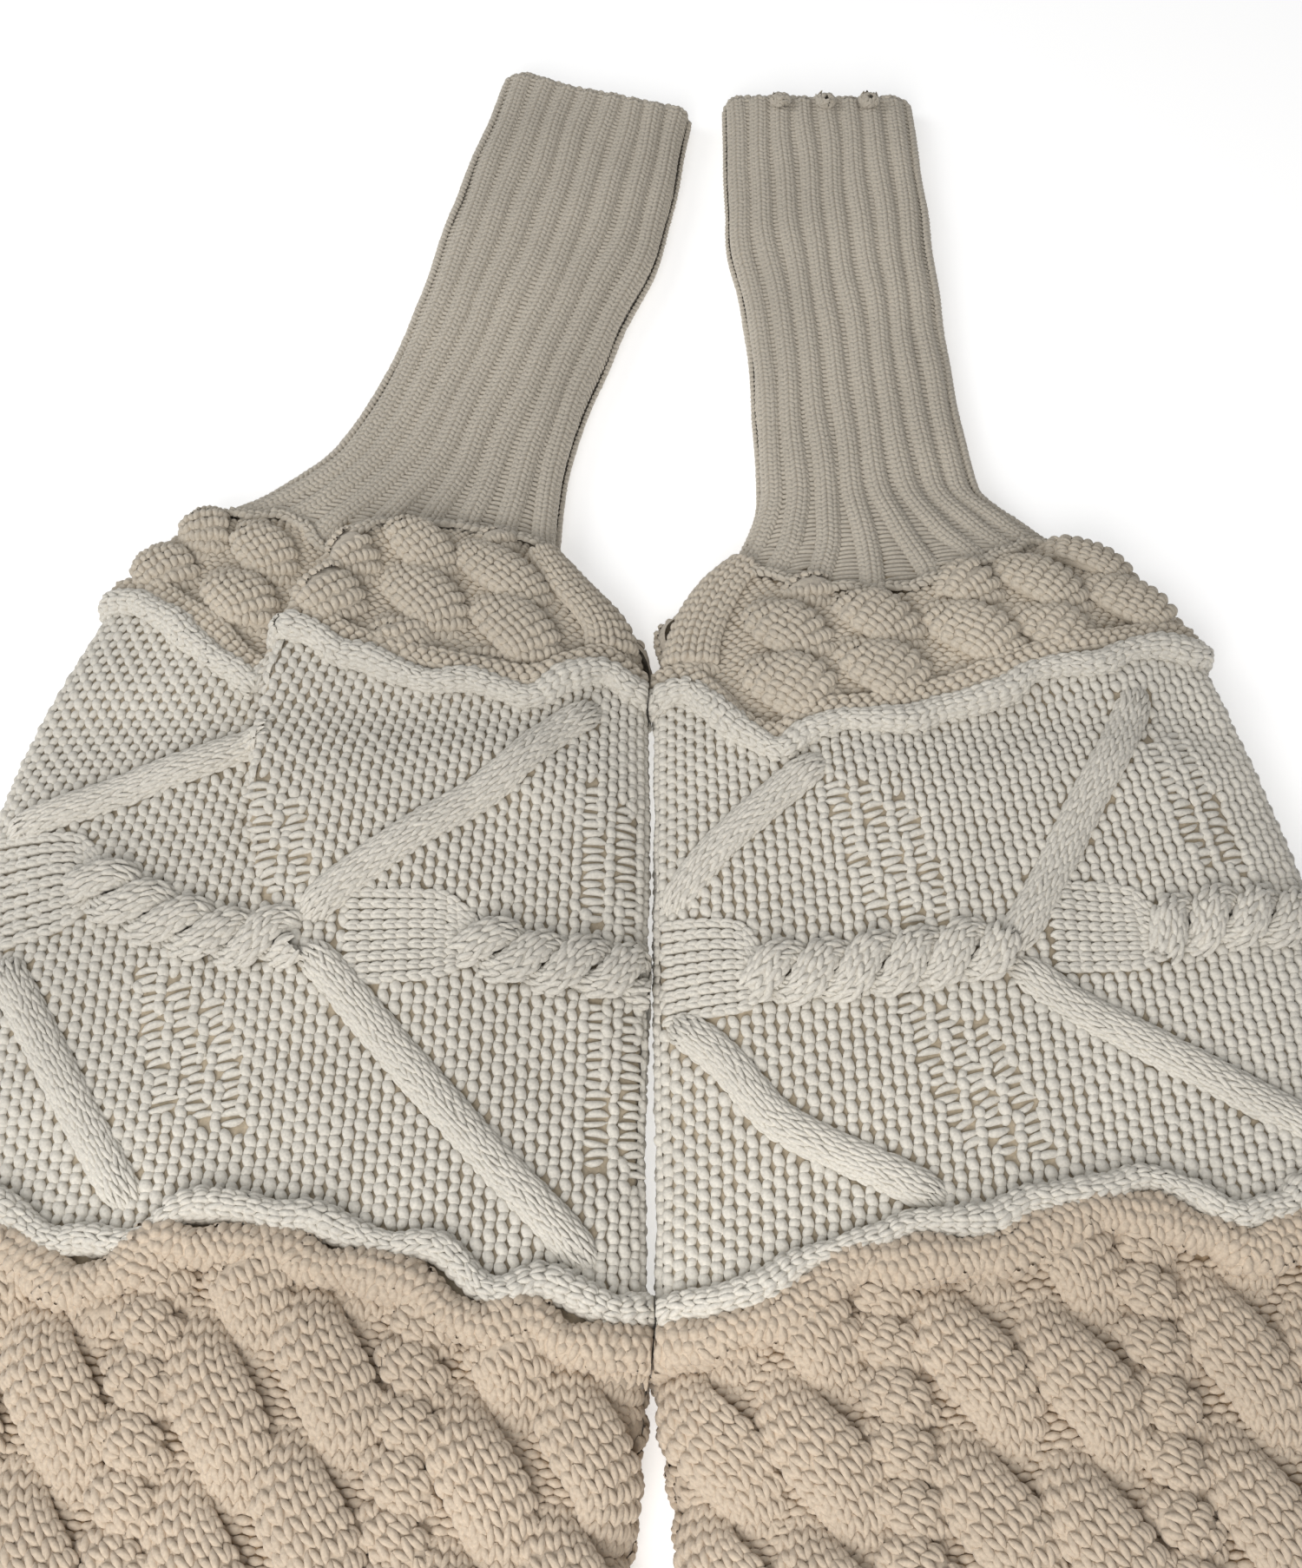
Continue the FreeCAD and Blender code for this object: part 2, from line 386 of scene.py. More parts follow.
    def seam(self, points, back_wave, seed):
        """Run of a seam all the way round, as a table over share: the points on the front and
        gentle waves on the back."""
        s, r = self.locate(points)
        order = np.argsort(s)
        s, r = s[order], r[order]
        back = np.linspace(s[-1] + 0.05, 1 + s[0] - 0.05, 7)
        t = (back - back[0]) / (back[-1] - back[0])
        waves = np.random.default_rng(seed).uniform(-back_wave, back_wave, 7)
        back_run = r[-1] + (r[0] - r[-1]) * t + waves
        s = np.concatenate([s, back])
        r = np.concatenate([r, back_run])
        s = np.concatenate([s[-2:] - 1, s, s[:2] + 1])
        r = np.concatenate([r[-2:], r, r[:2]])
        share = np.linspace(0, 1, 721)
        run = smooth(s, r, share)
        return share, run


class Line:
    """A path in space with a side and a normal, sampled every millimetre or so."""

    def __init__(self, points, normals):
        self.points = points
        self.along = unit(np.gradient(points, axis=0))
        side = unit(np.cross(self.along, normals))
        self.side = side
        self.normals = unit(np.cross(side, self.along))
        steps = np.linalg.norm(np.diff(points, axis=0), axis=1)
        self.reach = np.concatenate([[0], np.cumsum(steps)])
        self.length = self.reach[-1]

    def at(self, s):
        """Point, direction, side and normal at these distances along it."""
        def read(table):
            return np.stack([np.interp(s, self.reach, table[:, k]) for k in range(3)], axis=-1)
        return read(self.points), unit(read(self.along)), unit(read(self.side)), unit(read(self.normals))


def on_tube(tube, share, run, lift=0.0):
    """The line through these shares and runs on a tube."""
    point, _, _, normal = tube.at(share, run)
    lift = np.broadcast_to(np.asarray(lift, float), np.shape(share))
    return Line(point + normal * lift[..., None], normal)


def drawn(tube, xy, lift=0.0, mirrored=False, step=1.0):
    """A smooth line through x, y points on the front, or its mirror image on the back."""
    share, run = tube.locate(xy)
    knots = np.concatenate([[0], np.cumsum(np.hypot(np.diff(share) * 480, np.diff(run)))])
    even = np.linspace(0, knots[-1], max(8, int(knots[-1] / step)))
    share, run = smooth(knots, np.stack([share, run], axis=1), even).T
    if mirrored:
        share = 1 - share
    return on_tube(tube, share, run, lift)


# ---------------------------------------------------------------- yarn


class Yarn:
    """Collects drops of yarn and makes them into one mesh."""

    AROUND = 5
    LONG = 6
    REACH = math.radians(112)

    def __init__(self):
        self.drops = []
        self.sheets = []

    def add(self, centre, along, normal, length, width, height=None, bow=0.0, dip=0.5, jitter=0.06):
        """Drops of yarn: middle, long direction, outward normal, and sizes. bow bends them
        sideways like a bracket, and dip sinks their ends."""
        count = len(centre)
        if not count:
            return
        height = np.asarray(width) * 0.55 if height is None else height
        sizes = [np.broadcast_to(np.asarray(v, float), (count,))
                 for v in (length, width, height, bow, dip)]
        change = 1 + dice.normal(0, jitter, (count, 3))
        sway = unit(along + dice.normal(0, jitter * 0.9, (count, 3)))
        self.drops.append((centre, sway, normal, sizes[0] * change[:, 0], sizes[1] * change[:, 1],
                           sizes[2] * change[:, 2], sizes[3], sizes[4]))

    def sheet(self, points):
        """A smooth strip of cloth under the drops, from a grid of points."""
        self.sheets.append(points)

    def corners(self):
        """A grid of points over every drop, as a table of drop, row, column and coordinate."""
        centre, along, normal, length, width, height, bow, dip = (
            np.concatenate([d[k] for d in self.drops]) for k in range(8))
        side = unit(np.cross(along, normal))
        normal = unit(np.cross(side, along))
        t = np.linspace(-1, 1, self.LONG)[None, :, None]
        a = np.linspace(-self.REACH, self.REACH, self.AROUND)[None, None, :]
        fat = np.sqrt(np.clip(1 - (0.95 * t) ** 2, 0, 1))
        length, width, height, bow, dip = (v[:, None, None] for v in (length, width, height, bow, dip))
        x = t * length / 2 + 0 * a
        y = fat * np.sin(a) * width / 2 + bow * (t**2 - 0.4)
        z = fat * np.cos(a) * height - dip * t**2
        grid = (centre[:, None, None, :] + x[..., None] * along[:, None, None, :]
                + y[..., None] * side[:, None, None, :] + z[..., None] * normal[:, None, None, :])
        return grid

    def mesh(self, name, press):
        """One mesh of all the drops and strips, pressed to stay on its own side of things."""
        places, faces, start = [], [], 0
        grids = [self.corners()] if self.drops else []
        grids += [strip[None] for strip in self.sheets]
        for grid in grids:
            n, rows, columns, _ = grid.shape
            r = np.arange(rows - 1)[:, None]
            c = np.arange(columns - 1)[None, :]
            quad = np.stack([r * columns + c, r * columns + c + 1,
                             (r + 1) * columns + c + 1, (r + 1) * columns + c], axis=-1)
            quad = quad.reshape(-1, 4)[None] + (np.arange(n) * rows * columns)[:, None, None] + start
            faces.append(quad.reshape(-1, 4))
            places.append(grid.reshape(-1, 3))
            start += n * rows * columns
        places = press(np.concatenate(places)) * MM
        faces = np.concatenate(faces)
        mesh = bpy.data.meshes.new(name)
        mesh.vertices.add(len(places))
        mesh.vertices.foreach_set("co", places.ravel())
        mesh.loops.add(faces.size)
        mesh.loops.foreach_set("vertex_index", faces.ravel().astype(np.int32))
        mesh.polygons.add(len(faces))
        mesh.polygons.foreach_set("loop_start", (np.arange(len(faces)) * 4).astype(np.int32))
        mesh.polygons.foreach_set("loop_total", np.full(len(faces), 4, np.int32))
        mesh.update()
        mesh.validate()
        mesh.shade_smooth()
        return mesh


def along_line(line, value):
    """A function of distance along a line, from one value or a table of them."""
    if np.ndim(value):
        return lambda s: np.interp(s, line.reach, value)
    return lambda s: value + 0 * s


def strip(yarn, line, s, half, rise, reach, columns):
    """A rounded strip of cloth on a line, this wide and high at these distances along it."""
    point, _, side, normal = line.at(s)
    beta = np.radians(np.linspace(-reach, reach, columns))[None, :, None]
    h, r = half[:, None, None], rise[:, None, None]
    yarn.sheet(point[:, None] + side[:, None] * h * np.sin(beta) + normal[:, None] * r * np.cos(beta))


def strand(yarn, line, half, rise, legs, course, tilt=17.0, spread=150.0, tube_reach=100.0, fuzzy=0.0,
           plump=0.66, stagger=0.0, core=1.3, reach=1.45, full=1.12):
    """A raised band of knitting along a line: a rounded strip of cloth and rows of slanting
    legs, which read as columns of V stitches. half and rise may change along the line. plump
    is a leg's height as a share of its width, full is its width as a share of its room, reach
    is its length in courses, and stagger shifts every other leg along. core is how deep the
    strip of cloth lies."""
    half_at, rise_at = along_line(line, half), along_line(line, rise)
    s = np.arange(0, line.length, max(course * 0.6, 1.5))
    if len(s) < 2:
        return
    strip(yarn, line, s, half_at(s) - core, rise_at(s) - core, tube_reach, 11)
    s = np.arange(course * 0.3, line.length - course * 0.2, course)
    place = np.radians(spread) * ((np.arange(legs) + 0.5) / legs - 0.5)
    lean = np.radians(tilt) * np.where(np.arange(legs) % 2, -1, 1)
    ss, bb = np.meshgrid(s, place, indexing="ij")
    _, ll = np.meshgrid(s, lean, indexing="ij")
    bb, ll = bb.ravel(), ll.ravel()
    ss = ss.ravel() + dice.normal(0, course * 0.05, ss.size) + np.where(ll > 0, stagger * course, 0)
    point, along, side, normal = line.at(ss)
    h, r = half_at(ss), rise_at(ss)
    out = side * np.sin(bb)[:, None] / h[:, None] + normal * np.cos(bb)[:, None] / r[:, None]
    out = unit(out)
    centre = point + side * (h * np.sin(bb))[:, None] + normal * (r * np.cos(bb))[:, None]
    turned = unit(np.cross(out, along))
    way = along * np.cos(ll)[:, None] + turned * np.sin(ll)[:, None]
    mean = np.sqrt((h * h + r * r) / 2)
    leg_width = mean * np.radians(spread) / legs * full
    centre = centre - out * 0.9
    yarn.add(centre, way, out, course * reach, leg_width, np.minimum(leg_width * plump, 1.7), dip=0.6,
             jitter=0.05 + fuzzy)


def cable(yarn, tube, share, top, bottom, gauge, kind, phase, hand, sharp=0.9, dive=10.0, taper=0.27):
    """Two strands that twist round each other down the tube. gauge scales widths along the
    run, top and bottom are the runs that it goes between, it sinks over dive at its end, and
    taper narrows each strand where it goes under the other."""
    half, sway, period, rise, legs, course = kind
    run = np.arange(top, bottom, 1.0)
    scale = gauge(run)
    girth = tube.around(run)
    for turn in (0, math.pi):
        angle = math.pi * (run - top) / period + phase + turn
        shift = -hand * np.tanh(sharp * np.cos(angle)) / math.tanh(sharp) * sway * scale
        ends = np.minimum(ease((run - top) / 5), ease((bottom - run) / dive))
        lift = rise * (0.95 * np.sin(angle) - 0.72) - 6.0 * (1 - ends)
        line = on_tube(tube, share + shift / girth, run, lift)
        swell = 1.02 - taper + taper * np.sin(angle)
        strand(yarn, line, half * scale * swell, rise, legs, course, tube_reach=115, plump=0.55,
               reach=1.35, full=1.25)


def purl_field(halves, tube, upper, lower, columns, course, width, depth=0.9):
    """Purl cloth between two seams: staggered rows of short bars across the tube, this deep."""
    rows = np.arange(np.min(upper[1]), np.max(lower[1]), course)
    c, r = np.meshgrid(np.arange(columns), np.arange(len(rows)), indexing="ij")
    c, r = c.ravel(), r.ravel()
    share = (c + 0.5 * (r % 2)) / columns
    run = rows[r]
    inside = (run > np.interp(share, *upper) + 1) & (run < np.interp(share, *lower) - 1)
    share, run = share[inside], run[inside]
    length = tube.around(run) / columns * 1.15
    point, across, _, normal = tube.at(share, run)
    for where, pick in (("front", share < 0.5), ("back", share >= 0.5)):
        halves[where].add(point[pick] - normal[pick] * depth, across[pick], normal[pick],
                          length[pick], width, dip=0.8, jitter=0.08)


# ---------------------------------------------------------------- materials


def wool(name, colour, fuzz=0.35):
    """Soft yarn: uneven in tone, matt, with a fine fibre bump and a sheen."""
    material = bpy.data.materials.new(name)
    material.use_nodes = True
    nodes = material.node_tree.nodes
    links = material.node_tree.links
    surface = nodes["Principled BSDF"]
    place = nodes.new("ShaderNodeTexCoord")

    def noise(scale, detail):
        made = nodes.new("ShaderNodeTexNoise")
        made.inputs["Scale"].default_value = scale
        made.inputs["Detail"].default_value = detail
        links.new(place.outputs["Object"], made.inputs["Vector"])
        return made

    def spread(source, darkest, lightest):
        made = nodes.new("ShaderNodeMapRange")
        made.inputs["From Min"].default_value = 0.3
        made.inputs["From Max"].default_value = 0.7
        made.inputs["To Min"].default_value = darkest
        made.inputs["To Max"].default_value = lightest
        links.new(source.outputs["Fac"], made.inputs["Value"])
        return made

    broad = noise(14.0, 3.0)
    fine = noise(900.0, 4.0)
    tone = spread(broad, 0.90, 1.06)
    fleck = spread(fine, 0.86, 1.10)
    both = nodes.new("ShaderNodeMath")
    both.operation = "MULTIPLY"
    links.new(tone.outputs["Result"], both.inputs[0])
    links.new(fleck.outputs["Result"], both.inputs[1])
    dye = nodes.new("ShaderNodeVectorMath")
    dye.operation = "SCALE"
    dye.inputs[0].default_value = colour
    links.new(both.outputs["Value"], dye.inputs["Scale"])
    links.new(dye.outputs["Vector"], surface.inputs["Base Color"])
    surface.inputs["Roughness"].default_value = 0.92
    surface.inputs["Specular IOR Level"].default_value = 0.2
    surface.inputs["Sheen Weight"].default_value = 0.25
    surface.inputs["Sheen Roughness"].default_value = 0.5
    bump = nodes.new("ShaderNodeBump")
    bump.inputs["Strength"].default_value = fuzz
    bump.inputs["Distance"].default_value = 0.0006
    links.new(fine.outputs["Fac"], bump.inputs["Height"])
    links.new(bump.outputs["Normal"], surface.inputs["Normal"])
    return material


COLOURS = {
    "rib_beige": (0.56, 0.51, 0.43),
    "band_beige": (0.60, 0.535, 0.44),
    "cream_wool": (0.675, 0.643, 0.575),
    "chunky_beige": (0.575, 0.48, 0.375),
    "seam_yarn": (0.56, 0.51, 0.43),
}
STITCHES = {name: wool(name + "_stitches", colour) for name, colour in COLOURS.items()}
PAINTED_GAP_SHADE = (0.72, 0.64, 0.53)       # painted shade: the cloth seen between the stitches is made darker and warmer to stand for the shade in the gaps
CLOTHS_IN_PAINTED_SHADE = {name: wool(name + "_cloth_painted_shade", [c * d for c, d in zip(colour, PAINTED_GAP_SHADE)])
          for name, colour in COLOURS.items()}


# ---------------------------------------------------------------- pieces


def press_for(side):
    """Wool lies on the floor and against the other sleeve, and never goes through them. The
    two sleeves meet in an uneven wavy surface."""
    def press(p):
        p[:, 2] = np.maximum(p[:, 2], FLOOR_GAP)
        near = p[:, 1] < MEETING_END
        x, y, z = p[near].T
        between = 1.1 * np.sin(z / 4.0 + y / 23.0) + 0.6 * np.sin(y / 5.0)
        if side == "right":
            p[near, 0] = np.maximum(x, between + MEETING_GAP)
        else:
            p[near, 0] = np.minimum(x, between - MEETING_GAP)
        return p
    return press


def placed(name, mesh, material, nodes):
    """A mesh as a piece of the object, standing for its CAD nodes."""
    mesh.materials.append(material)
    made = bpy.data.objects.new(name, mesh)
    bpy.context.scene.collection.objects.link(made)
    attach(made, "root")
    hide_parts(*nodes)
    return made


def piece(name, yarn, side, nodes, slot):
    """A piece made of stitches."""
    return placed(name, yarn.mesh(name, press_for(side)), STITCHES[slot], nodes)


def cloth(name, tube, upper, lower, node, slot, rows=60, depth=SHEET_DEPTH):
    """The plain sheet of cloth under a panel's stitches, between two seams, open at both ends.

    Returns the sheet and its flat size in metres, its girth and its length.
    """
    share = np.linspace(0, 1, 181)
    t = np.linspace(0, 1, rows)[:, None]
    first = np.interp(share, *upper)[None, :]
    last = np.interp(share, *lower)[None, :]
    run = first * (1 - t) + last * t
    point, _, _, normal = tube.at(np.broadcast_to(share[None, :], run.shape), run)
    grid = point - normal * depth
    n = len(share) - 1
    places = press_for(tube.side)(grid[:, :-1].reshape(-1, 3)) * MM
    r = np.arange(rows - 1)[:, None]
    c = np.arange(n)[None, :]
    beside = (c + 1) % n
    faces = np.stack([r * n + c, r * n + beside, (r + 1) * n + beside, (r + 1) * n + c], axis=-1)
    mesh = bpy.data.meshes.new(name)
    mesh.from_pydata(places.tolist(), [], faces.reshape(-1, 4).tolist())
    mesh.shade_smooth()
    # painted shade: the sheet takes its panel's wool darkened, standing for the shade between the stitches
    made = placed(name, mesh, CLOTHS_IN_PAINTED_SHADE[slot], [node])
    girth = float(np.mean(tube.around(run.mean(axis=1))))
    length = float(np.mean(last - first))
    return made, (girth * MM, length * MM)


def ring_line(tube, seam, lift, offset=0.0, first=0.0, last=1.0):
    """The line of a seam round the tube, this far beyond it down the run."""
    share = np.linspace(first, last, 900)
    run = np.interp(np.mod(share, 1.0), *seam) + offset
    return on_tube(tube, share, run, lift)


def shifted(seam, distance):
    """A seam moved this far down the sleeve."""
    return seam[0], seam[1] + distance


def make_cuff(tube, chain):
    """Ribs, the bars between them, and the sheet under them."""
    side = tube.side
    halves = {"front": Yarn(), "back": Yarn()}
    inside = LIP - math.pi * LIP - LIP_INSIDE
    for k in range(RIBS):
        share = (k + 0.55) / RIBS
        yarn = halves["front" if share < 0.5 else "back"]
        end = float(np.interp(share, *chain)) + 0.8
        run = np.arange(inside, end, 1.0)
        sway = 0.5 * np.sin(run / 23.0 + k * 1.7) + 0.3 * np.sin(run / 9.0 + k)
        girth = tube.around(run)
        half = np.minimum(RIB_HALF, girth / RIBS * 0.445)
        rise = RIB_RISE * (0.6 + 0.4 * ease((end - run) / 20))
        line = on_tube(tube, share + sway / girth, run, -0.9)
        strand(yarn, line, half, rise, 6, RIB_COURSE, tilt=30, spread=170, plump=0.5, core=0.8,
               reach=1.8)
        gap = share + 0.5 / RIBS
        run = np.arange(LIP, float(np.interp(gap % 1.0, *chain)) - 1, RIB_COURSE)
        room = tube.around(run) / RIBS
        room = room - 2 * np.minimum(RIB_HALF, room * 0.445)
        point, across, _, normal = tube.at(np.full(len(run), gap), run)
        yarn.add(point - normal * 0.4, across, normal, room + 4.5, 2.1, dip=0.5)
    parts = [piece(f"{side}_cuff_ribs_{where}", yarn, side, [f"{side}_cuff_rib"], "rib_beige")
             for where, yarn in halves.items()]
    share = np.linspace(0, 1, 900)
    scallop = 0.4 * np.sin(share * 2 * math.pi * RIBS * 2)
    line = on_tube(tube, share, LIP * (1 - math.pi / 2) + scallop, 0.0)
    edge = Yarn()
    strand(edge, line, 2.6, 2.9, 6, 2.9, tilt=26, spread=230, tube_reach=140, plump=0.5, core=0.8)
    parts.append(piece(f"{side}_cuff_cast_off", edge, side, [f"{side}_cuff_edge"], "rib_beige"))
    top = (np.linspace(0, 1, 721), np.full(721, inside))
    sheet, flat = cloth(f"{side}_cuff_sheet", tube, top, chain, f"{side}_cuff_rib", "rib_beige", rows=110,
                        depth=1.0)
    return sheet, flat, parts


def make_chain(tube, chain):
    """The thin linking chain where the cuff joins the band."""
    yarn = Yarn()
    line = ring_line(tube, chain, 1.6)
    s = np.arange(0, line.length, 3.1)
    sway = 0.9 * np.sin(s / 2.6)[:, None]
    for way in (-1, 1):
        point, along, side, normal = line.at(s)
        yarn.add(point + side * (way * 1.0 + sway), unit(along + side * way * 0.4), normal, 4.6, 2.3, 1.7,
                 dip=0.6, jitter=0.12)
    return piece(f"{tube.side}_chain_stitches", yarn, tube.side, [f"{tube.side}_linking_chain"],
                 "rib_beige")


def make_band(tube, chain, edge):
    """Twisting cables of the upper band over purl cloth, with a plain column at each edge."""
    side = tube.side
    halves = {"front": Yarn(), "back": Yarn()}
    widest = tube.around(tube.station["band_end"]) / BAND_CABLES

    def gauge(run):
        """The cables narrow with the tube."""
        return tube.around(run) / BAND_CABLES / widest

    for k in range(BAND_CABLES):
        share = (k + 0.5) / BAND_CABLES
        yarn = halves["front" if share < 0.5 else "back"]
        top = float(np.interp(share, *chain)) + 0.5
        bottom = float(np.interp(share, *edge)) + 2.0
        if k % BAND_PLAIN_EVERY == 0:
            run = np.arange(top, bottom, 1.0)
            sunk = 5.0 * (1 - ease((bottom - run) / 8))
            line = on_tube(tube, share + 1.5 * np.sin(run / 14.0) / tube.around(run), run, -1.0 - sunk)
            strand(yarn, line, 11.5 * gauge(run), 6.0, 10, BAND_COURSE)
        else:
            cable(yarn, tube, share, top, bottom, gauge, BAND_CABLE, 1.3 * k + 0.5, tube.sign, taper=0.2)
    purl_field(halves, tube, chain, edge, 100, 2.2, 2.5)
    parts = [piece(f"{side}_band_cables_{where}", yarn, side, [f"{side}_upper_cable_band"], "band_beige")
             for where, yarn in halves.items()]
    sheet, flat = cloth(f"{side}_band_sheet", tube, chain, edge, f"{side}_upper_cable_band", "band_beige",
                        rows=40)
    return sheet, flat, parts


def make_band_edge(tube, edge):
    """A row of round beads between two lines of yarn."""
    yarn = Yarn()
    for offset in (-3.6, 3.4):
        line = ring_line(tube, edge, 2.6, offset)
        s = np.arange(0, line.length, 4.0)
        point, along, side, normal = line.at(s)
        yarn.add(point, unit(along + side * 0.25), normal, 5.8, 2.4, 1.8, dip=0.5, jitter=0.1)
    for offset, shift in ((-1.3, 0.0), (1.4, 0.5)):
        line = ring_line(tube, edge, 2.8, offset)
        s = np.arange(0, line.length, 4.2) + shift * 4.2
        point, along, side, normal = line.at(s)
        yarn.add(point, unit(side + along * 0.3), normal, 4.2, 4.0, 2.6, dip=0.9, jitter=0.1)
    line = ring_line(tube, edge, 0.0)
    beta = np.radians(np.linspace(-100, 100, 9))[None, :, None]
    yarn.sheet(line.points[::3, None] + line.side[::3, None] * 4.6 * np.sin(beta)
               + line.normals[::3, None] * 2.6 * np.cos(beta))
    return piece(f"{tube.side}_band_edge_beads", yarn, tube.side, [f"{tube.side}_band_edge"], "band_beige")


def make_roll(tube, seam, name, node, slot="cream_wool"):
    """A soft rolled edge: a round cord of fine slanting stitches."""
    yarn = Yarn()
    line = ring_line(tube, seam, 1.6, 0.6)
    s = line.reach
    sway = 1.3 * np.sin(s / 6.3 + 2) + 1.0 * np.sin(s / 9.7) + 0.4 * np.sin(s / 3.1)
    line = Line(line.points + line.side * sway[:, None], line.normals)
    girth = ROLL_RADIUS * (1 + 0.09 * np.sin(s / 17.0) + 0.07 * np.sin(s / 6.1 + 1))
    strand(yarn, line, girth, girth * 0.95, 11, 4.2, tilt=15, spread=240, tube_reach=150, fuzzy=0.07,
           plump=0.5)
    return piece(name, yarn, tube.side, [node], slot)


def make_crochet(tube, seam):
    """A thick rolled edge with rows of small upright bumps."""
    yarn = Yarn()
    side = tube.side
    line = ring_line(tube, seam, 1.6, -1.5)
    s = line.reach
    sway = 1.2 * np.sin(s / 6.6) + 0.7 * np.sin(s / 3.3 + 1)
    line = Line(line.points + line.side * sway[:, None], line.normals)
    half = CROCHET_HALF * (1 + 0.14 * np.sin(s / 6.6) + 0.06 * np.sin(s / 4.1 + 2))
    rise = CROCHET_RISE + 0.8 * np.sin(s / 12.0)
    at = np.arange(0, line.length, 3.0)
    strip(yarn, line, at, np.interp(at, s, half) - 0.9, np.interp(at, s, rise) - 0.9, 140, 13)
    for row, (place, course, length, width) in enumerate(CROCHET_ROWS):
        at = np.arange(0, line.length, course) + (row % 2) * course / 2
        point, along, lateral, normal = line.at(at)
        h = np.interp(at, s, half)[:, None]
        r = np.interp(at, s, rise)[:, None]
        b = math.radians(place)
        out = unit(lateral * math.sin(b) + normal * math.cos(b))
        centre = point + lateral * h * math.sin(b) + normal * r * math.cos(b) - out * 1.1
        around = unit(np.cross(along, out))
        slant = dice.normal(0.1, 0.3, (len(at), 1))
        yarn.add(centre, unit(around + along * slant), out, length, width, 1.5, dip=1.0, jitter=0.14)
    return piece(f"{side}_crochet_bumps", yarn, side, [f"{side}_crochet_edge"], "chunky_beige")


def make_aran(tube, upper, lower, hidden):
    """The cream panel: staggered drops, ladders, raised cords, ropes and their fans."""
    side = tube.side
    made = {k: Yarn() for k in ("ground_front", "ground_back", "cords", "ropes")}
    keep_off = []
    for mirrored in (False, True):
        for xy in CORDS[side]:
            line = drawn(tube, xy, -0.8, mirrored)
            keep_off.append((line.points[8:-8:3], CORD_HALF - 0.3))
            ends = np.minimum(line.reach, line.length - line.reach)
            line = Line(line.points - line.normals * (5.0 * (1 - ease(ends / 9)))[:, None], line.normals)
            strand(made["cords"], line, CORD_HALF * (0.8 + 0.2 * ease(ends / 12)), CORD_RISE, 12, 5.4,
                   tilt=8, spread=165, fuzzy=0.04, plump=0.5, stagger=0.4)
        for xy, upper_corner, lower_corner in ROPES[side]:
            rope = drawn(tube, xy, 0.0, mirrored)
            keep_off.append((rope.points[8:-8:3], 8.4))
            make_rope(made["ropes"], rope)
            end = np.array(xy[0], float)
            for k in range(FAN_RIBS):
                t = k / (FAN_RIBS - 1)
                far = np.array(upper_corner, float) * (1 - t) + np.array(lower_corner, float) * t
                near = end + np.array([6.0, 3.5 - 8.0 * t])
                bow = (far + near) / 2 + np.array([7.0, 9.0 * (0.72 - t)])
                rib = drawn(tube, [far, (far * 0.6 + bow * 0.4), bow, near], -0.9, mirrored)
                keep_off.append((rib.points[::3], 2.4))
                strand(made["ropes"], rib, 2.4, 2.6, 2, 4.4, tilt=14, spread=110, core=0.8)
    columns = int(tube.around(tube.station["aran_high"]) / DROP_PITCH / 2) * 2
    height = float(np.max(lower[1]) - np.min(upper[1]))
    c, k = np.meshgrid(np.arange(columns), np.arange(int(height / DROP_STEP) + 2), indexing="ij")
    c, k = c.ravel(), k.ravel()
    share = (c + 0.5) / columns
    run = np.min(upper[1]) + k * DROP_STEP
    inside = (run > np.interp(share, *upper) + 1) & (run < np.interp(share, *lower) - 1)
    kind = ((c + k) % 2)[inside]
    lean = np.radians(DROP_TILT) * np.where(kind, -1, 1) * tube.sign
    long, wide = np.array(DROP_SIZES)[kind].T
    share, run = share[inside], run[inside]
    wide = wide * tube.around(run) / columns / DROP_PITCH
    point, across, down, normal = tube.at(share, run)
    free = np.ones(len(share), bool)
    for line, reach in keep_off:
        gap = np.linalg.norm(point[:, None] - line[None], axis=2).min(axis=1)
        free &= gap > reach
    rungs = np.zeros(len(share), bool)
    for mirrored in (False, True):
        for group in LADDERS[side]:
            rungs |= ladder(made, tube, group, mirrored, point, keep_off)
    free &= ~rungs
    for where, half in (("ground_front", share < 0.5), ("ground_back", share >= 0.5)):
        pick = free & half
        way = down[pick] * np.cos(lean[pick])[:, None] + across[pick] * np.sin(lean[pick])[:, None]
        made[where].add(point[pick] + normal[pick] * 0.1, way, normal[pick], long[pick], wide[pick],
                        0.42 * wide[pick], dip=0.8, jitter=0.07)
    parts = [piece(f"{side}_aran_{k}", yarn, side, [f"{side}_aran_panel"], "cream_wool")
             for k, yarn in made.items()]
    sheet, flat = cloth(f"{side}_aran_sheet", tube, shifted(upper, -4), hidden,
                        f"{side}_aran_panel", "cream_wool", rows=90, depth=0.9)
    return sheet, flat, parts


def make_rope(yarn, rope):
    """A two-strand rope of knitting along a line."""
    s = np.arange(0, rope.length, 0.7)
    point, _, side, normal = rope.at(s)
    for turn in (0, math.pi):
        angle = math.pi * s / ROPE_PERIOD + turn + 0.6
        shift = np.tanh(np.cos(angle)) / math.tanh(1) * ROPE_SWAY
        lift = 2.6 * np.sin(angle)
        line = Line(point + side * shift[:, None] + normal * lift[:, None], normal)
        strand(yarn, line, ROPE_HALF * (0.86 + 0.16 * np.sin(angle)), 4.8, 8, 5.0, tilt=10, spread=160,
               tube_reach=115, fuzzy=0.06, plump=0.55, stagger=0.4)


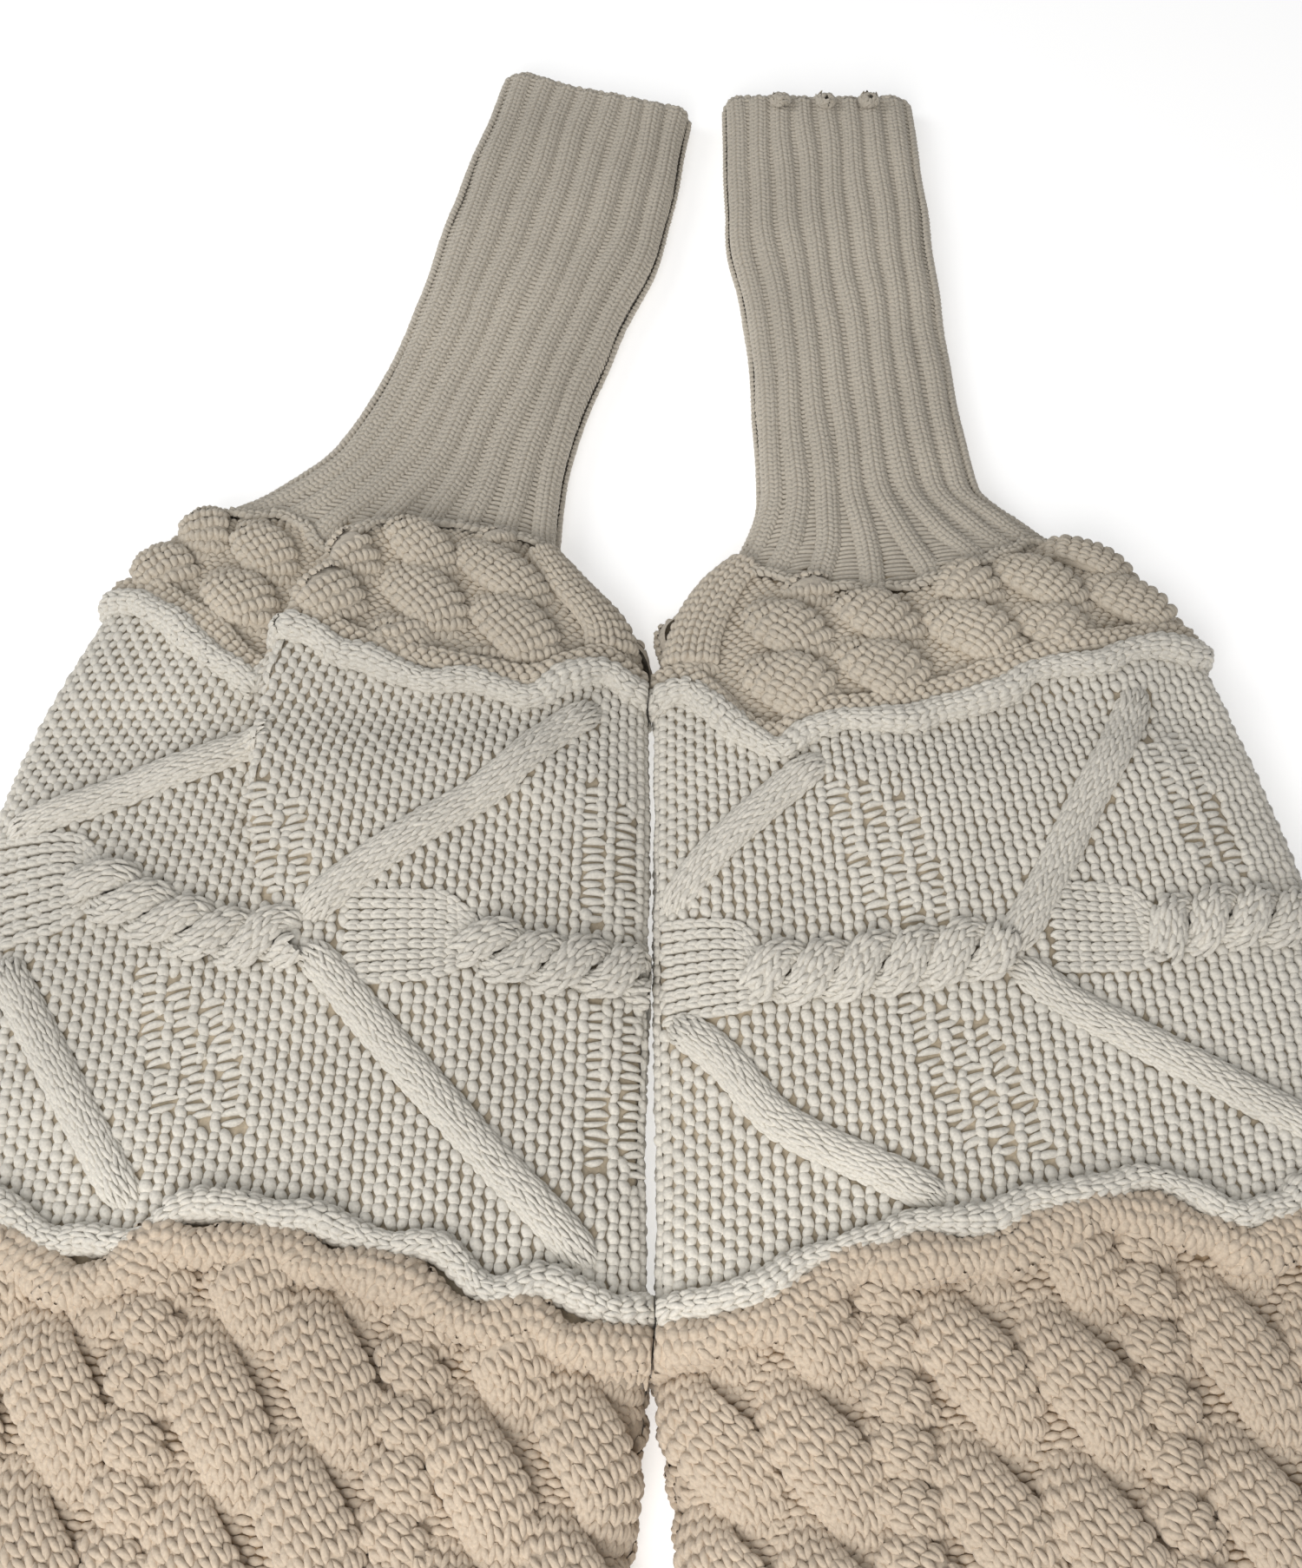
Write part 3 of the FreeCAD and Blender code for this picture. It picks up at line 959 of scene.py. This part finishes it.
def ladder(made, tube, group, mirrored, point, keep_off):
    """Columns of rungs in the ground. Returns which drops, at these points, they replace."""
    x_top, x_bottom, y_top, y_bottom, count = group
    taken = np.zeros(len(point), bool)
    for k in range(count):
        shift = (k - (count - 1) / 2) * LADDER_PITCH
        lag = 6.0 * k
        start = (x_top + shift, y_top - lag)
        middle = ((x_top + x_bottom) / 2 + shift, (y_top + y_bottom) / 2)
        end = (x_bottom + shift, y_bottom + 6.0 - lag * 0.5)
        line = drawn(tube, [start, middle, end], 0.0, mirrored)
        s = np.arange(0, line.length, RUNG_STEP)
        p, _, side, normal = line.at(s)
        way = np.where(np.arange(len(s)) % 2, 1.0, -1.0)
        free = np.ones(len(s), bool)
        for path, reach in keep_off:
            free &= np.linalg.norm(p[:, None] - path[None], axis=2).min(axis=1) > reach + 3
        where = "ground_back" if mirrored else "ground_front"
        centre = p - normal * 0.2 + side * way[:, None] * 0.7
        made[where].add(centre[free], side[free], normal[free], LADDER_WIDTH + 1.5, 2.7, 1.5,
                        bow=way[free] * 0.7, dip=0.7, jitter=0.1)
        if free.any():
            gap = np.abs(((point[:, None] - p[free][None]) * side[free][None]).sum(axis=2))
            near = np.linalg.norm(point[:, None] - p[free][None], axis=2) < 3.8
            taken |= (near & (gap < LADDER_WIDTH / 2 - 1.0)).any(axis=1)
    return taken


def make_chunky(tube, upper):
    """The heavy cable panel: pairs of wide cables and narrow twists over purl cloth."""
    side = tube.side
    halves = {"front": Yarn(), "back": Yarn()}
    end = tube.length - 4
    number = 0

    def gauge(run):
        """The cables keep their width."""
        return np.ones(len(run))

    for k in range(CHUNKY_REPEATS):
        for place, kind in CHUNKY_PATTERN:
            share = (k + place) / CHUNKY_REPEATS
            yarn = halves["front" if share < 0.5 else "back"]
            top = float(np.interp(share, *upper)) - 3
            number += 1
            cable(yarn, tube, share, top, end, gauge, kind, 2.1 * number + 0.4, tube.sign)
    bottom = (np.linspace(0, 1, 721), np.full(721, tube.length - 3))
    purl_field(halves, tube, upper, bottom, 96, 2.7, 3.1, 1.5)
    node = f"{side}_lower_cable_panel"
    parts = [piece(f"{side}_chunky_cables_{where}", yarn, side, [node], "chunky_beige")
             for where, yarn in halves.items()]
    sheet, flat = cloth(f"{side}_chunky_sheet", tube, shifted(upper, -8), bottom, node,
                        "chunky_beige", rows=50, depth=2.0)
    return sheet, flat, parts


def make_armhole(tube):
    """The cast-off edge round the armhole end."""
    yarn = Yarn()
    seam = (np.linspace(0, 1, 721), np.full(721, tube.length - 3.5))
    line = ring_line(tube, seam, 0.5)
    strand(yarn, line, 4.0, 4.0, 8, 4.6, tilt=24, spread=240, tube_reach=150)
    return piece(f"{tube.side}_armhole_cast_off", yarn, tube.side, [f"{tube.side}_armhole_edge"],
                 "chunky_beige")


def make_seam(tube, seams):
    """The sewn allowance inside each panel, along the inner edge."""
    yarn = Yarn()
    for top, bottom in seams:
        run = np.arange(top, bottom, 1.0)
        line = on_tube(tube, np.full(len(run), 0.0), run, -5.5)
        strand(yarn, line, 1.4, 1.4, 4, 3.5, spread=300, tube_reach=180)
    return piece(f"{tube.side}_seam_allowance", yarn, tube.side, [f"{tube.side}_underarm_seam"],
                 "seam_yarn")


def make_knots(tube):
    """Three small fuzzy knots just under the right cuff's mouth."""
    yarn = Yarn()
    for share in KNOT_SHARES:
        point, _, _, normal = (v[0] for v in tube.at(np.array([share]), np.array([5.5])))
        way = unit(dice.normal(0, 1, (KNOT_DROPS, 3)))
        way = unit(way - normal * np.minimum((way @ normal)[:, None], 0))
        centre = point + way * np.array([4.2, 3.6, 2.4]) + normal * 3.4
        long = unit(np.cross(way, dice.normal(0, 1, (KNOT_DROPS, 3))))
        yarn.add(centre, unit(long + way * 0.25), way, 4.6, 1.7, dip=1.2, jitter=0.2)
    return piece("right_cuff_knot_tufts", yarn, "right", ["right_cuff_knots"], "rib_beige")


def make_sleeve(side):
    """One sleeve: its panels from the cuff down, then the trims, each riding with a panel."""
    tube = Tube(side)
    seams = {name: tube.seam(points, 5.0, k) for k, (name, points) in enumerate(SEAMS[side].items())}
    chain, roll, lower, crochet = (seams[name] for name in ("chain", "roll", "lower", "crochet"))
    cuff = make_cuff(tube, chain)
    band = make_band(tube, chain, shifted(roll, -9.5))
    aran = make_aran(tube, shifted(roll, 2.0), shifted(lower, -2.0), crochet)
    chunky = make_chunky(tube, shifted(crochet, 3.0))
    cuff[2].append(make_chain(tube, chain))
    band[2].append(make_band_edge(tube, shifted(roll, -7.5)))
    aran[2].append(make_roll(tube, roll, f"{side}_upper_roll_stitches", f"{side}_upper_roll"))
    aran[2].append(make_roll(tube, lower, f"{side}_lower_roll_stitches", f"{side}_lower_roll"))
    chunky[2].append(make_crochet(tube, crochet))
    chunky[2].append(make_armhole(tube))
    at = tube.station
    chunky[2].append(make_seam(tube, [(20, at["cuff_end"] - 15),
                                      (at["band_mid"], at["band_end"] - 3),
                                      (at["aran_high"] - 40, at["aran_end"] - 10),
                                      (at["cable_top"] + 15, tube.length - 15)]))
    if side == "right":
        cuff[2].append(make_knots(tube))


# ---------------------------------------------------------------- camera, light and floor


def lamp(name, place, target, width, power, colour):
    """A soft round lamp at a place in metres, turned to its target."""
    data = bpy.data.lights.new(name, "AREA")
    data.shape = "DISK"
    data.size = width
    data.energy = power
    data.color = colour
    made = bpy.data.objects.new(name, data)
    made.location = place
    made.rotation_euler = (Vector(target) - Vector(place)).to_track_quat("-Z", "Y").to_euler()
    bpy.context.scene.collection.objects.link(made)


def make_stage():
    """Camera, two soft lamps, an even white room and a pale floor."""
    camera = bpy.data.objects.new("camera", bpy.data.cameras.new("camera"))
    camera.data.lens = CAMERA_LENS
    camera.data.sensor_width = SENSOR_WIDTH
    camera.data.sensor_fit = "HORIZONTAL"
    camera.location = CAMERA_PLACE
    camera.rotation_euler = (math.radians(CAMERA_TILT), 0, 0)
    bpy.context.scene.collection.objects.link(camera)
    bpy.context.scene.camera = camera

    lamp("lamp_near", (-0.2, -0.85, 0.62), (0.0, -0.25, 0.0), width=0.7, power=7.5,
         colour=(1.0, 0.98, 0.96))
    lamp("lamp_left", (-1.1, 0.4, 0.9), (0.0, 0.1, 0.0), width=0.8, power=5.0,
         colour=(0.98, 0.99, 1.0))

    world = bpy.data.worlds.new("room")
    bpy.context.scene.world = world
    world.use_nodes = True
    world.node_tree.nodes["Background"].inputs["Color"].default_value = (1.0, 1.0, 1.0, 1.0)
    world.node_tree.nodes["Background"].inputs["Strength"].default_value = ROOM_LIGHT

    mesh = bpy.data.meshes.new("floor")
    half = FLOOR_HALF
    corners = [(-half, -half, 0), (half, -half, 0), (half, half, 0), (-half, half, 0)]
    mesh.from_pydata(corners, [], [(0, 1, 2, 3)])
    paper = bpy.data.materials.new("paper")
    paper.use_nodes = True
    surface = paper.node_tree.nodes["Principled BSDF"]
    surface.inputs["Base Color"].default_value = (0.9, 0.9, 0.9, 1.0)
    surface.inputs["Roughness"].default_value = 1.0
    surface.inputs["Emission Color"].default_value = (1.0, 1.0, 1.0, 1.0)
    surface.inputs["Emission Strength"].default_value = 0.45
    mesh.materials.append(paper)
    floor = bpy.data.objects.new("floor", mesh)
    bpy.context.scene.collection.objects.link(floor)
    bpy.context.scene.view_settings.view_transform = "Standard"


make_stage()
for side in ("right", "left"):
    make_sleeve(side)
